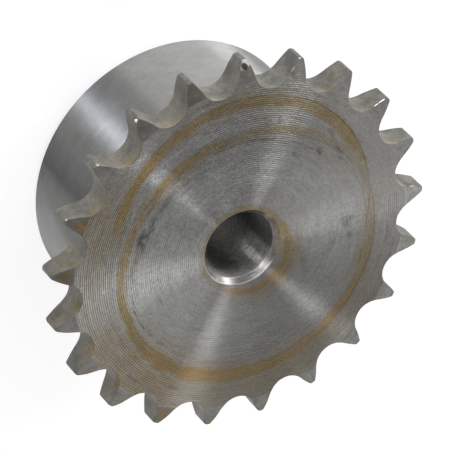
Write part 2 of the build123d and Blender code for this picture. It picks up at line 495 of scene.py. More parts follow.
class Turned(Graph):
    """A material of a surface that was turned on the lathe, with coordinates in millimetres."""

    def __init__(self, name):
        super().__init__(name)
        place = self.tree.nodes.new("ShaderNodeTexCoord").outputs["Object"]
        self.place = self.scaled(place, 1 / MM)
        self.flat = self.vector("MULTIPLY", self.place, (1, 1, 0))
        self.way = self.vector("NORMALIZE", self.flat)
        self.radius = self.vector("LENGTH", self.flat, output=1)
        axes = self.tree.nodes.new("ShaderNodeSeparateXYZ")
        self.tree.links.new(self.place, axes.inputs[0])
        self.x, self.y, self.z = axes.outputs
        self.turn = self.times(self.math("ARCTAN2", self.y, self.x), 1 / (2 * pi))

    def cloudy(self, scale, detail, roughness):
        """A noise of this many blotches to the millimetre."""
        return self.noise(self.place, scale, detail, roughness)

    def streaks(self, across, arc, fine, detail=2.0, roughness=0.5):
        """A noise drawn out round the axis: arc is its scale along it, and fine the scale across."""
        lift = self.node("CombineXYZ", {"Z": self.times(across, fine)})
        place = self.vector("ADD", self.scaled(self.way, arc), lift)
        return self.noise(place, 1.0, detail, roughness)

    def toward(self, angle):
        """1 on the side at this angle round the axis, down to -1 on the far side."""
        return self.vector("DOT_PRODUCT", self.way, round_at(angle), output=1)

    def around(self, *stops):
        """A value that changes along the way round the axis, through (angle, value) stops."""
        ramp = self.tree.nodes.new("ShaderNodeValToRGB")
        self.set(ramp.inputs[0], self.math("FRACT", self.turn))
        ramp.color_ramp.interpolation = "EASE"
        marks = ramp.color_ramp.elements
        (_, first), (_, last) = stops[0], stops[-1]
        before, after = stops[0][0], 360 - stops[-1][0]
        seam = (first * after + last * before) / (before + after) if before + after else first
        half = [(0.0, seam), *stops, (360.0, seam)]
        for i, (angle, value) in enumerate(half):
            mark = marks[i] if i < 2 else marks.new(angle / 360)
            mark.position = angle / 360
            mark.color = (value / 2, value / 2, value / 2, 1)
        return self.times(self.node("SeparateColor", {0: ramp.outputs[0]}), 2.0)

    def between(self, start, end, soft=8.0):
        """1 between two angles round the axis, with soft ends that lie inside them."""
        middle, half = (start + end) / 2, (end - start) / 2
        return self.fade(self.toward(middle), cos(radians(half)), cos(radians(max(half - soft, 0.0))))

    def ring(self, center, radius, half_width, soft, wobble):
        """1 on a ring round a line parallel to the axis, 0 off it."""
        off = self.vector("SUBTRACT", self.flat, (center[0], center[1], 0.0))
        reach = self.vector("LENGTH", off, output=1)
        away = self.math("ABSOLUTE", self.add(reach, wobble, -radius))
        return self.fade(away, self.add(half_width, soft), self.add(half_width, -soft))

    def spot(self, angle, reach, along, across=None, tilt=0.0):
        """A soft spot on the face, long by along round the axis and by across, or as long, radially."""
        across = across or along
        a, t = radians(angle), radians(angle + 90 + tilt)
        center = (reach * cos(a), reach * sin(a), 0.0)
        off = self.vector("SUBTRACT", self.flat, center)
        u = self.vector("DOT_PRODUCT", off, (cos(t) / along, sin(t) / along, 0), output=1)
        v = self.vector("DOT_PRODUCT", off, (sin(t) / across, -cos(t) / across, 0), output=1)
        far = self.math("SQRT", self.add(self.times(u, u), self.times(v, v)))
        return self.fade(far, 1.0, 0.25)

    def spots(self, places):
        """The strongest of these spots; the last value of each is its strength."""
        return self.strongest(*[self.times(self.spot(*place), strength) for *place, strength in places])

    def ball(self, angle, reach, drop, size):
        """1 inside a ball whose middle lies this far below the face, with a soft surface."""
        a = radians(angle)
        middle = (reach * cos(a), reach * sin(a), PLATE_TOP - drop)
        return self.fade(self.vector("DISTANCE", self.place, middle, output=1), size, 0.7 * size)

    def chip_with_painted_light(self, color):
        """The colour with painted shadow in one tooth's chipped corner and a painted highlight on its
        rim.
        """
        hole = self.ball(*CHIP_HOLE)
        rim = self.strongest(self.ball(*CHIP_RIM), self.ball(*CHIP_EDGE))
        rim = self.times(rim, self.rest(hole))
        return self.blend(hole, self.blend(rim, color, CHIP_PAINTED_HIGHLIGHT), CHIP_PAINTED_SHADOW)

    def grooves(self):
        """A wave from 0 to 1 across each groove of the spiral that the lathe tool cut."""
        loose = self.times(self.streaks(self.radius, 1.5, 0.8, 1.0), GROOVE_WANDER)
        turns = self.add(self.times(self.radius, 1 / FEED), self.turn, loose)
        angle = self.times(turns, 2 * pi)
        skewed = self.add(angle, self.times(self.math("SINE", angle), GROOVE_LEAN))
        return self.add(self.times(self.math("SINE", skewed), 0.5), 0.5)

    def bump(self, height, depth, under=None):
        inputs = {"Height": height, "Distance": depth * MM, "Strength": 1.0}
        if under is not None:
            inputs["Normal"] = under
        return self.node("Bump", inputs)

    def finish(self, color, roughness, normal, anisotropy=0.0, metallic=1.0, stretch=0.25):
        self.set(self.shader.inputs["Base Color"], color)
        self.set(self.shader.inputs["Roughness"], roughness)
        self.set(self.shader.inputs["Metallic"], metallic)
        self.set(self.shader.inputs["Normal"], normal)
        if anisotropy:
            tangent = self.node("Tangent", {}, direction_type="RADIAL", axis="Z")
            self.set(self.shader.inputs["Tangent"], tangent)
            self.shader.inputs["Anisotropic"].default_value = anisotropy
            self.shader.inputs["Anisotropic Rotation"].default_value = stretch
        return self.material


# ---------------------------------------------------------------- materials: the surfaces
# The tables of (angle, value) hold brightness factors, strengths, shares, half widths and shifts. Their
# values were chosen, rounded and thinned by hand from measurements of the photo and of earlier renders at
# the same places, over several rounds. The tones of the face's steel are close to measured ratios.
FEED = 0.37  # how far the lathe tool moved outwards in each turn
GROOVE_DEPTH = 0.035
BACK_GROOVE_DEPTH = GROOVE_DEPTH * 0.6
BEVEL_GROOVE_DEPTH = 0.02
BEVEL_GRAIN_DEPTH = 0.02
WALL_GRAIN_DEPTH = 0.03
CHAMFER_GRAIN_DEPTH = 0.003
CUT_DEPTH = 0.008  # of the cutter's marks on the walls of the teeth
SCRATCH_DEPTH = 0.006
BORE_SCRATCH_DEPTH = 0.02
GROOVE_LEAN = -0.6  # how far each groove leans to one side
GROOVE_WANDER = 0.5  # how far the spiral strays, in turns
GROOVE_PAINTED_SHADE = 0.13  # painted shade and light across each groove: darker on the ridges, lighter down in the grooves
FACE_STEEL = (0.415, 0.413, 0.402, 1)
HUB_STEEL = (0.253, 0.251, 0.248, 1)
TEETH_STEEL = (0.171, 0.162, 0.144, 1)
GREENISH_STEEL = (0.166, 0.168, 0.148, 1)
BEVEL_STEEL = (0.25, 0.246, 0.234, 1)
BORE_STEEL = (0.45, 0.446, 0.43, 1)
CHAMFER_STEEL = (0.40, 0.40, 0.405, 1)
RUST_TINT = (0.79, 0.59, 0.29, 1)  # what thin rust leaves of each colour of light
RUST_OLIVE = (0.80, 0.64, 0.34, 1)
RUST_ORANGE = (0.92, 0.65, 0.34, 1)
RUST_LIVELY = (1.18, 0.75, 0.4, 1)
ORANGE_SHARE = (  # how orange the rust on the face is, by angle
    (0, 0.5), (30, 0.4), (60, 0.5), (90, 0.3), (115, 0.6), (140, 1), (155, 0.9), (175, 0.3), (190, 0.1),
    (215, 0.15), (232, 0.8), (260, 0.9), (300, 1), (315, 0.9), (330, 0.5),
)
ORANGE_SHARE_OUTSIDE = (  # the same outside the rings
    (0, 0.3), (100, 0.6), (150, 0.6), (200, 0.3), (222, 0.9), (243, 0.8), (258, 0.1), (300, 0.1),
    (330, 0.3),
)
SHEEN_BLUISH = (0.96, 1.0, 1.05, 1)  # the tint of the painted highlight on the clean steel of the face
HUB_HIGHLIGHT_TINT = (0.95, 0.985, 1.06, 1)  # the tint of the painted highlight streak on the hub
WHITE = (1, 1, 1, 1)
# the near-white colour of the painted glints
GLINT_WHITE = (0.92, 0.91, 0.9, 1)
# painted shadow in the chip's hole, and painted highlight on its rim
CHIP_PAINTED_SHADOW = (0.05, 0.045, 0.03, 1)
CHIP_PAINTED_HIGHLIGHT = (0.4, 0.4, 0.39, 1)

# The chipped corner of one tooth, where shadow and highlight are painted: angle round the axis, reach,
# depth below the face and size
CHIP_HOLE = (94.75, 33.1, 0.62, 0.7)
CHIP_EDGE = (94.1, 33.5, 1.1, 0.8)
CHIP_RIM = (95.3, 33.0, 0.6, 0.6)

# Painted light and shade, by angle: how bright the walls of the teeth, the bevels and the bore's chamfer
# are
WALL_PAINTED_LIGHT = (
    (0, 1.08), (14, 1.16), (30, 1.12), (47, 0.98), (64, 0.94), (82, 0.98), (99, 0.87), (106, 1.07),
    (115, 0.87), (120, 0.9), (124.5, 1.06), (132, 0.86), (137, 0.92), (142, 1.18), (149, 0.95),
    (154, 0.86), (159, 1.28), (166, 0.96), (171, 0.86), (176, 1.1), (190, 0.98), (220, 1), (244, 1.12),
    (262, 1.22), (280, 1),
)
BEVEL_PAINTED_LIGHT = (
    (8.6, 1.4), (25.7, 0.93), (42.9, 0.75), (77.1, 0.85), (94.3, 0.7), (111.4, 0.54), (128.6, 0.64),
    (145.7, 0.86), (162.9, 0.63), (180, 0.6), (197.1, 0.87), (214.3, 1.04), (248.6, 1.17), (300, 1.27),
    (351.4, 1.3),
)
CHAMFER_PAINTED_LIGHT = (
    (0, 0.95), (25, 0.82), (38, 0.75), (50, 1.3), (60, 1.2), (200, 1.18), (232, 1), (246, 0.52),
    (258, 0.44), (275, 0.6), (288, 0.85), (303, 1.55), (315, 1.1), (325, 0.8), (335, 0.66),
)

# Rust on the face, in three rings that something left. Each has a middle off the axis and a radius, and
# by angle a half width and a strength. The two larger ones also have a shift outwards, by angle, and
# their middles and radii come from a fit of circles to the rust in the photo.
RING_MIDDLE, RING_RADIUS = (1.15, -1.43), 22.71
BROAD_MIDDLE, BROAD_RADIUS = (-0.6, 4.1), 22.66
BORE_RING_MIDDLE, BORE_RING_RADIUS = (1.6, -1.6), 6.85
RING_WIDTH = (
    (0, 0.9), (20, 0.65), (70, 0.72), (90, 0.6), (105, 0.6), (125, 0.62), (138, 0.6), (155, 0.56),
    (165, 0.62), (195, 0.64), (210, 0.72), (240, 1.1), (255, 1.05), (270, 0.97), (285, 1.05), (330, 1),
)
RING_STRENGTH = (
    (0, 0.52), (30, 0.38), (60, 0.4), (80, 0.55), (100, 0.38), (113, 0.48), (125, 0.67), (140, 0.82),
    (155, 0.6), (165, 0.8), (180, 0.86), (195, 1), (210, 0.95), (222, 0.84), (240, 0.88), (258, 1),
    (280, 0.88), (300, 0.62), (320, 0.7), (335, 0.7), (345, 0.7),
)
RING_SHIFT = (
    (0, 0), (20, 0.2), (45, 0.3), (60, 0.05), (75, 0.05), (90, -0.17), (105, 0), (121, 0.05),
    (137, 0.05), (155, 0), (165, -0.1), (180, 0.2), (195, 0.17), (210, 0.07), (225, -0.25), (240, -0.5),
    (255, -0.42), (270, -0.6), (285, -0.85), (300, -1.08), (315, -1.08), (330, -1.12), (345, -0.72),
)
BROAD_WIDTH = (
    (0, 0.4), (22, 0.52), (38, 0.95), (45, 1.05), (60, 1.2), (75, 1.1), (90, 1), (105, 1), (113, 0.8),
    (121, 0.92), (130, 0.92), (155, 0.8),
)
BROAD_STRENGTH = (
    (0, 0), (10, 0.2), (25, 0.4), (32, 0.5), (45, 0.85), (70, 0.6), (100, 0.62), (120, 0.86),
    (140, 1.25), (153, 1.05), (163, 0.6), (176, 0),
)
BROAD_SHIFT = (
    (0, 0.3), (22, 0.25), (30, 0.3), (38, 0.1), (45, -0.08), (60, -0.22), (75, -0.38), (90, -0.24),
    (105, -0.23), (113, -0.37), (121, -0.24), (129, -0.33), (137, -0.2), (145, -0.42), (155, -0.15),
)
BORE_RING_WIDTH = (
    (0, 0.75), (240, 0.4), (285, 0.65), (300, 0.62), (315, 0.52), (330, 0.55), (345, 0.65),
)
BORE_RING_STRENGTH = (
    (0, 1.5), (20, 1), (60, 0.7), (220, 0.6), (245, 0.7), (265, 0.98), (285, 1.3), (315, 1.3),
    (345, 1.5),
)

# By angle, how strong the rust is at the bore's lip and in the halo round it, and the stains outside
# the rings, inside them and along them
LIP_STRENGTH = (
    (0, 0.65), (30, 1), (45, 0.75), (60, 0.95), (105, 0.97), (120, 0.92), (150, 0.43), (165, 0.4),
    (180, 0.57), (195, 0.74), (210, 0.85), (225, 0.5), (245, 0.48), (270, 0.33), (320, 0.08),
    (338, 0.12), (350, 0.4),
)
HALO_STRENGTH = ((0, 0.3), (20, 0.08), (255, 0), (285, 0.28), (300, 0.6), (325, 1), (345, 0.85))
OUTER_STAIN = (
    (0, 0.2), (20, 0.22), (45, 0.2), (75, 0.4), (97, 0.66), (115, 0.52), (132, 0.12), (147, 0.5),
    (155, 0.95), (165, 0.98), (182, 0.5), (196, 0.36), (210, 0.88), (240, 1.15), (256, 0.78),
    (285, 0.88), (300, 0.88), (330, 0.55), (350, 0.25),
)
INNER_STAIN = (
    (0, 0), (50, 0.3), (75, 0.35), (90, 0.5), (120, 0.7), (138, 0.7), (155, 0.4), (168, 0.36),
    (190, 0.06), (212, 0.36), (235, 0.62), (255, 0.3), (290, 0.2), (320, 0),
)
TRAIL_STAIN = (
    (0, 0.1), (232, 0), (248, 0.9), (258, 1.3), (270, 1.15), (285, 0.6), (300, 0.75), (315, 0.12),
    (330, 0.1), (345, 0.6),
)

# Blots of rust: angle, reach, half length, half width and strength
BLOTS = (
    (224.5, 24.9, 1.3, 0.9, 1.1), (226.5, 24.6, 1.6, 0.9, 0.6), (236, 24.4, 3, 1, 0.5),
    (243, 27.4, 3, 0.9, 0.6), (33, 24.6, 1.2, 0.9, 0.4), (97, 27, 4.5, 1, 0.3), (163, 27.6, 3, 1, 0.4),
)


def rings_of_rust(g, frayed, patchy):
    """The rings that something left on the face, and the rust round the bore."""
    torn = g.times(frayed, g.add(1.0, g.times(g.between(212, 246, 12), 0.9)))
    edge = g.math("SUBTRACT", torn, g.around(*RING_SHIFT))
    ring = g.ring(RING_MIDDLE, RING_RADIUS, g.around(*RING_WIDTH), 0.42, edge)
    ring = g.times(ring, g.around(*RING_STRENGTH))

    edge = g.math("SUBTRACT", g.times(frayed, 0.65), g.around(*BROAD_SHIFT))
    broad = g.ring(BROAD_MIDDLE, BROAD_RADIUS, g.around(*BROAD_WIDTH), 0.36, edge)
    on_its_side = g.around((0, 1), (175, 1), (185, 0), (340, 0))
    broad = g.times(broad, g.around(*BROAD_STRENGTH), on_its_side)

    width = g.around(*BORE_RING_WIDTH)
    small = g.ring(BORE_RING_MIDDLE, BORE_RING_RADIUS, width, 0.95, g.times(frayed, 0.6))
    small = g.times(small, g.around(*BORE_RING_STRENGTH))
    lip = g.fade(g.add(g.radius, g.times(frayed, 0.4)), 8.5, 6.9)
    lip = g.times(lip, g.around(*LIP_STRENGTH))
    halo = g.fade(g.add(g.radius, g.times(frayed, 1.2)), 13.2, 9.0)
    halo = g.times(halo, g.fade(g.radius, 7.3, 8.9), g.around(*HALO_STRENGTH))

    mottled = g.vary(g.cloudy(1.5, 4.0, 0.8), 0.72, 1.34)
    bands = g.vary(g.streaks(g.radius, 2.5, 2.0, 3.0, 0.7), 0.78, 1.2)
    patches = g.spread(g.fade(patchy, 0.25, 0.6), 0.8, 1.0)
    return g.times(g.strongest(ring, broad, small, lip, halo), patches, mottled, bands)


def stains_of_rust(g, streaks, patchy):
    """The stains outside the rings, inside them and along them, and the blots."""
    thin = g.streaks(g.radius, 14.0, 3.6, 4.0, 0.75)
    texture = g.add(g.times(patchy, 0.35), g.times(streaks, 0.35), g.times(thin, 0.5))
    texture = g.fade(texture, 0.28, 0.9)
    nearer = g.between(175, 232, 12)
    outer = g.fade(g.add(g.radius, nearer), 23.9, 25.4)
    outer = g.times(outer, g.around(*OUTER_STAIN), texture)
    nearer = g.times(g.between(84, 150, 8), 2.0)
    inner = g.times(g.fade(g.radius, 17.0, 20.5), g.fade(g.add(g.radius, nearer), 24.5, 23.5))
    inner = g.times(inner, g.around(*INNER_STAIN), texture)
    trail = g.times(g.fade(g.radius, 20.3, 22.8), g.fade(g.radius, 24.5, 23.5), texture)
    trail = g.times(trail, g.around(*TRAIL_STAIN))
    return g.strongest(outer, inner, trail, g.spots(BLOTS))


def rust_on_face(g, wave):
    """How much thin rust lies on the toothed face."""
    wobble = g.spread(g.cloudy(0.45, 3.0, 0.6), -0.5, 0.5)
    streaks = g.streaks(g.radius, 6.0, 2.7, 3.0, 0.7)
    ragged = g.spread(g.cloudy(1.3, 3.0, 0.7), -0.55, 0.55)
    frayed = g.add(wobble, g.spread(streaks, -0.9, 0.9), ragged)
    patchy = g.cloudy(0.55, 4.0, 0.65)
    rings = rings_of_rust(g, frayed, patchy)
    stains = g.times(stains_of_rust(g, streaks, patchy), g.spread(wave, 0.6, 1.4))
    return g.math("MINIMUM", g.add(rings, stains), 1.15)


# Painted light and shade on the face's steel, by angle, along its highlight streaks and between them,
# and what of that is left near the bore, further out and near the teeth
FACE_PAINTED_LIGHT = (
    (0, 0.9), (15, 0.8), (30, 0.89), (50, 0.78), (70, 0.7), (90, 0.7), (105, 0.74), (118, 0.96),
    (127, 1.04), (138, 0.92), (150, 1.1), (168, 1.24), (183, 0.98), (195, 0.93), (208, 1.05),
    (225, 0.98), (250, 0.87), (262, 0.93), (272, 0.9), (288, 0.88), (302, 1.06), (320, 1.04), (352, 1),
)
FACE_INNER_PAINTED_LIGHT = (
    (0, 0.82), (30, 0.94), (55, 0.97), (73, 0.82), (90, 0.95), (118, 1.04), (133, 0.76), (150, 0.98),
    (165, 1.05), (185, 0.86), (205, 0.95), (230, 1), (250, 0.84), (264, 0.98), (285, 0.88), (300, 0.93),
    (315, 0.84), (335, 0.92),
)
FACE_MIDDLE_PAINTED_LIGHT = (
    (0, 0.99), (30, 1.02), (45, 0.9), (60, 0.87), (75, 0.87), (85, 0.83), (105, 0.9), (118, 0.82),
    (128, 0.87), (136, 1.01), (148, 0.87), (157, 1.04), (167, 0.95), (177, 1.06), (195, 1.04),
    (220, 0.95), (238, 1), (252, 0.98), (265, 0.92), (285, 0.93), (305, 0.97), (318, 1.13), (335, 1.05),
    (350, 1.05),
)
FACE_EDGE_PAINTED_LIGHT = (
    (0, 0.83), (30, 0.86), (60, 0.95), (75, 0.91), (90, 0.79), (110, 0.82), (130, 0.86), (150, 0.88),
    (165, 0.8), (180, 0.89), (210, 0.85), (240, 0.89), (262, 0.82), (272, 0.83), (285, 0.78),
    (300, 0.96), (315, 0.8), (330, 0.88), (350, 0.94),
)

# How deep the grooves are on the face, by angle, and how much that grows towards the teeth
GROOVES_DEEP = (
    (0, 0.9), (30, 0.3), (60, 0.62), (90, 1.1), (150, 1.4), (180, 2.2), (215, 1), (270, 0.8),
)
GROOVES_DEEPER_OUTSIDE = (
    (0, 0.3), (40, 1), (90, 0.5), (120, 0.4), (150, 1.4), (185, 1), (240, 1.7), (262, 0),
)

# How pitted the face is, by angle
FACE_WEAR = (
    (0, 1.4), (30, 0.9), (60, 1.3), (100, 1.7), (130, 1.9), (150, 1.8), (180, 1.6), (215, 1.2),
    (270, 0.9), (330, 1.2),
)

# Dark smudges on the face: angle, reach, half length, half width, tilt and strength
SMUDGES = (
    (158.5, 18.3, 3.2, 1, 8, 0.5), (166.5, 19, 3.2, 1.6, 2, 0.68), (145, 18.3, 3.6, 0.9, 0, 0.38),
    (160.5, 22.95, 3.6, 0.5, 0, 0.35), (73.5, 19.3, 2, 0.45, 0, 0.45), (120.8, 29.8, 1.3, 0.8, 0, 0.3),
    (53.3, 23.7, 1.8, 0.9, 0, 0.3), (71.6, 23.7, 1.7, 0.35, 0, 0.42), (176, 19.2, 2.2, 0.7, -4, 0.45),
    (184.5, 19.9, 1.4, 0.6, 0, 0.3), (199, 20.3, 2, 0.25, 0, 0.45), (205.5, 20.6, 1.5, 0.3, 0, 0.5),
    (213.5, 20.6, 2.2, 0.28, 0, 0.55), (221, 20.5, 1.2, 0.4, 8, 0.35), (229, 20.4, 1.3, 0.5, 10, 0.35),
    (51.9, 20, 1.6, 0.7, -25, 0.52), (60, 19.4, 1, 0.45, -20, 0.3), (40, 21.6, 1.1, 0.45, 10, 0.3),
    (5, 19, 1.9, 1.3, 20, 0.5), (6, 19.6, 0.9, 1.6, 0, 0.4), (357, 19.9, 1, 0.8, 0, 0.35),
    (338, 12.6, 2.6, 1, 30, 0.22), (352, 17, 1.8, 0.6, 0, 0.22), (62, 19.6, 5, 0.28, 0, 0.4),
    (85, 19.6, 6, 0.26, 0, 0.5), (106, 19.6, 5, 0.25, 0, 0.42), (130, 19.5, 4.5, 0.3, 0, 0.3),
    (244, 15.8, 1.6, 0.6, 0, 0.2), (207, 16, 1.4, 0.5, 0, 0.2), (168, 16.5, 1.2, 0.5, 0, 0.22),
    (258, 21.2, 5.5, 0.3, 0, 0.25), (44, 22.2, 1.9, 0.45, 0, 0.4), (63, 17.6, 1.3, 0.6, -20, 0.35),
    (229.5, 27.8, 2.2, 0.5, 0, 0.3), (247, 26.6, 1.8, 0.7, 0, 0.25),
)

# Clean patches, where a bluish highlight is painted on the steel, in the same form
CLEAN_WITH_SHEEN = (
    (184, 23.1, 3.6, 0.6, 0, 0.5), (136.3, 22.9, 3.2, 1.1, 0, 1), (77.6, 22.9, 3.2, 1.2, 0, 1.1),
    (68, 22.6, 2.6, 0.8, 0, 0.4), (189, 24.8, 1.2, 0.8, 0, 0.5), (146, 21.6, 1.4, 0.7, 0, 0.3),
)

# Dark lines at the edges of the rings: middle, radius, half width, softness, strength, and that by angle
DIRT_LINES = (
    (BROAD_MIDDLE, 23.5, 0.09, 0.12, 0.42, ((0, 0), (12, 0.6), (30, 1.1), (125, 0.9), (150, 0))),
    (RING_MIDDLE, 21.95, 0.08, 0.12, 0.32, (
        (0, 0.8), (25, 0.4), (60, 1), (190, 1), (230, 0.4), (330, 0.6),
    )),
    (RING_MIDDLE, 23.4, 0.1, 0.14, 0.4, ((0, 1), (15, 0.6), (30, 0), (300, 0), (325, 0.8))),
)


def dirt_on_face(g):
    """The smudges, the dark lines and the specks together."""
    texture = g.fade(g.streaks(g.radius, 16.0, 2.4, 4.0, 0.7), 0.3, 0.6)
    loose = g.spread(g.streaks(g.radius, 3.0, 0.6, 2.0), -0.3, 0.3)
    lines = []
    for middle, radius, half_width, soft, strength, stops in DIRT_LINES:
        line = g.ring(middle, radius, half_width, soft, loose)
        lines.append(g.times(line, strength, g.around(*stops)))
    lines = g.times(g.strongest(*lines), g.spread(texture, 0.4, 1.0))
    specks = g.fade(g.cloudy(2.6, 2.0, 0.6), 0.66, 0.74)
    specks = g.times(specks, g.spread(g.fade(g.toward(150), -0.6, 0.7), 0.1, 0.5))
    return g.add(g.strongest(g.times(g.spots(SMUDGES), texture), lines), specks)


def scratches_on_face(g):
    """Fine straight scratches, most of them between 285 and 345 degrees round the axis."""
    layers = []
    for angle, length, sharp in ((38.0, 0.13, 5.5), (64.0, 0.16, 6.5)):
        a = radians(angle)
        along = g.vector("DOT_PRODUCT", g.flat, (cos(a) * length, sin(a) * length, 0), output=1)
        across = g.vector("DOT_PRODUCT", g.flat, (-sin(a) * sharp, cos(a) * sharp, 0), output=1)
        lines = g.noise(g.node("CombineXYZ", {"X": along, "Y": across}), 1.0, 1.0, 0.5)
        layers.append(g.fade(lines, 0.70, 0.76))
    place = g.strongest(g.times(g.between(285, 345, 20), g.fade(g.radius, 16, 21)), 0.25)
    return g.times(g.strongest(*layers), place)


def face_material():
    g = Turned("turned_face")
    outwards = g.fade(g.radius, 17.0, 25.0)
    wave = g.grooves()
    uneven = g.streaks(g.radius, 3.0, 2.7, 2.0)
    deeper = g.add(1.0, g.times(outwards, g.around(*GROOVES_DEEPER_OUTSIDE)))
    swing = g.times(g.spread(uneven, 0.2, 1.6), g.around(*GROOVES_DEEP), deeper)
    scratches = g.streaks(g.radius, 9.0, 9.0, 3.0, 0.6)
    normal = g.bump(g.times(wave, swing), GROOVE_DEPTH)
    normal = g.bump(scratches, SCRATCH_DEPTH, normal)

    rust = rust_on_face(g, wave)
    outside = g.fade(g.radius, 24.4, 25.6)
    orange = g.blend_value(outside, g.around(*ORANGE_SHARE), g.around(*ORANGE_SHARE_OUTSIDE))
    orange = g.add(orange, g.spread(g.cloudy(0.7, 4.0, 0.7), -1.6, 1.6))
    rust_tint = g.blend(g.math("MULTIPLY", orange, 1.0, clamp=True), RUST_OLIVE, RUST_ORANGE)
    dirt = dirt_on_face(g)
    clean_with_sheen = g.times(g.spots(CLEAN_WITH_SHEEN), g.fade(g.cloudy(1.1, 3.0, 0.6), 0.35, 0.55))
    rust = g.times(rust, g.spread(clean_with_sheen, 1.0, 0.3))
    scores = scratches_on_face(g)
    pits = g.cloudy(2.2, 4.0, 0.75)
    drawn = g.streaks(g.radius, 3.5, 1.5, 4.0, 0.75)
    blotches = g.cloudy(0.16, 3.0, 0.55)
    # painted shade and light across each groove, as strong as the grooves swing
    shade = g.add(1.0 + GROOVE_PAINTED_SHADE, g.times(wave, -2 * GROOVE_PAINTED_SHADE))
    shade = g.add(1.0, g.times(swing, g.add(shade, -1.0)))
    tone = g.times(g.spread(scratches, 0.86, 1.14), g.spread(blotches, 0.9, 1.1), shade)
    # painted light and shade on the face, by angle
    tone = g.times(tone, g.around(*FACE_PAINTED_LIGHT))
    worn = g.add(g.spread(pits, -0.46, 0.46), g.spread(drawn, -0.26, 0.26))
    tone = g.times(tone, g.add(1.0, g.times(g.around(*FACE_WEAR), worn)))
    # the same painted light and shade, changed near the bore, further out and near the teeth
    inwards = g.fade(g.radius, 13.0, 9.5)
    middle = g.times(g.fade(g.radius, 15.0, 18.0), g.fade(g.radius, 24.0, 21.0))
    zones = ((inwards, FACE_INNER_PAINTED_LIGHT), (middle, FACE_MIDDLE_PAINTED_LIGHT), (outwards, FACE_EDGE_PAINTED_LIGHT))
    for zone, tones in zones:
        tone = g.times(tone, g.blend_value(zone, 1.0, g.around(*tones)))
    lit_edge = g.times(g.fade(g.radius, 27.5, 29.8), g.between(276, 330, 12))
    tone = g.times(tone, g.spread(lit_edge, 1.0, 1.1))
    tone = g.times(tone, g.rest(dirt), g.spread(scores, 1.0, 1.5))
    # painted highlight on the clean patches: lighter and bluish
    tone = g.times(tone, g.spread(clean_with_sheen, 1.0, 1.35))
    steel = g.blend(clean_with_sheen, g.shaded(FACE_STEEL, tone), SHEEN_BLUISH, "MULTIPLY")
    color = g.rusted(steel, rust, rust_tint)
    roughness = g.add(g.spread(scratches, 0.36, 0.46), g.times(rust, 0.1))
    bare = g.around((0, 0.76), (70, 0.72), (140, 0.8), (190, 0.88), (250, 0.95), (320, 0.92))
    metallic = g.times(bare, g.spread(outwards, 1.0, 0.94), g.spread(rust, 1.0, 0.86))
    return g.finish(color, roughness, normal, 1.0, metallic)


# Painted reflections on the hub, by angle: lighter streaks and a dark valley near 165 degrees
HUB_PAINTED_REFLECTIONS = (
    (20, 1), (60, 1.15), (80, 1.13), (95, 1.1), (104, 1.02), (111, 1.06), (117, 1.33), (122, 1.18),
    (128, 1.02), (145, 1.08), (152, 1), (158, 0.84), (162, 0.72), (165.5, 0.62), (169, 0.86),
    (174, 1.02), (190, 1.04), (202, 1.18), (240, 1),
)


def hub_material():
    g = Turned("turned_hub")
    lines = g.streaks(g.z, 3.0, 5.0, 3.0, 0.7)
    fine = g.streaks(g.z, 20.0, 6.0, 4.0, 0.75)
    normal = g.bump(lines, SCRATCH_DEPTH)
    clouds = g.cloudy(0.12, 3.0, 0.6)
    worn = g.streaks(g.z, 9.0, 0.5, 4.0, 0.7)
    tone = g.times(g.spread(lines, 0.76, 1.24), g.spread(fine, 0.72, 1.28), g.spread(clouds, 0.88, 1.12))
    tone = g.times(tone, g.spread(worn, 0.78, 1.22), g.around(*HUB_PAINTED_REFLECTIONS))
    # a painted highlight: a lighter, bluish streak along the hub, fading near the plate and towards the
    # end
    painted_streak = g.times(g.between(124, 146, 9), g.fade(g.z, 22.0, 17.0))
    painted_streak = g.times(painted_streak, g.spread(g.fade(g.z, 3.0, 13.0), 0.2, 1.0))
    steel = g.shaded(HUB_STEEL, g.times(tone, g.spread(painted_streak, 1.0, 1.22)))
    steel = g.blend(g.between(127, 144, 4), steel, HUB_HIGHLIGHT_TINT, "MULTIPLY")
    return g.finish(steel, g.spread(lines, 0.38, 0.52), normal, 1.0)


# Rust on the bevels: angle round the axis, reach, size and strength
BEVEL_RUST = (
    (94.3, 32.4, 2.4, 0.35), (111.4, 32, 2.4, 0.3), (128.6, 31.6, 2.4, 0.28), (147, 31, 2.4, 0.1),
    (163.1, 30.9, 1.7, 1.4), (180.4, 31.6, 2, 1), (197.1, 32.4, 2.4, 0.15), (214.3, 32.4, 2.4, 0.45),
    (231.4, 32.4, 2.4, 0.35), (248.6, 32, 2.6, 0.95), (265.7, 32.4, 2.4, 0.35), (282.9, 32.4, 2.4, 0.25),
    (351.4, 32.4, 2.4, 0.2), (77.1, 32.4, 2.4, 0.2),
)


